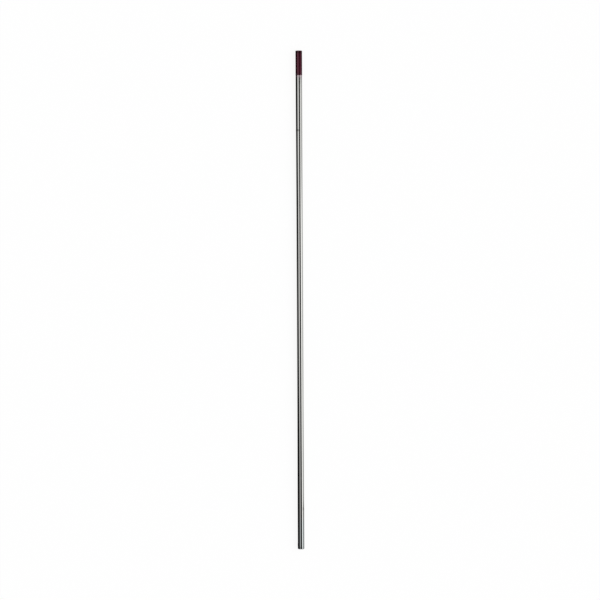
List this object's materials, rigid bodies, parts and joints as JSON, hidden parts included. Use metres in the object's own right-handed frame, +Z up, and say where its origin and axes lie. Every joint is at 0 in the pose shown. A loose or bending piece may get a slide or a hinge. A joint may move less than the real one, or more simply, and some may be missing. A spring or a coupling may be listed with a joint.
{
  "type": "tig tungsten electrode",
  "caption": "Straight ground tungsten welding electrode, chamfered at both ends, with a dark red colour code painted on one end.",
  "frame": {"origin": "middle of the rod's length, on its axis", "axes": "+X along the rod's axis towards the painted end, +Z up as the rod lies on a table"},
  "size_m": [0.1779, 0.0024, 0.0024],
  "materials": {
    "ground_tungsten": "centreless ground, bright, with fine lines round the rod",
    "colour_paint": "dipped lacquer, glossy, dark wine red"
  },
  "bodies": {
    "root": {"tungsten_rod": "ground_tungsten", "colour_coat": "colour_paint"}
  },
  "joints": []
}
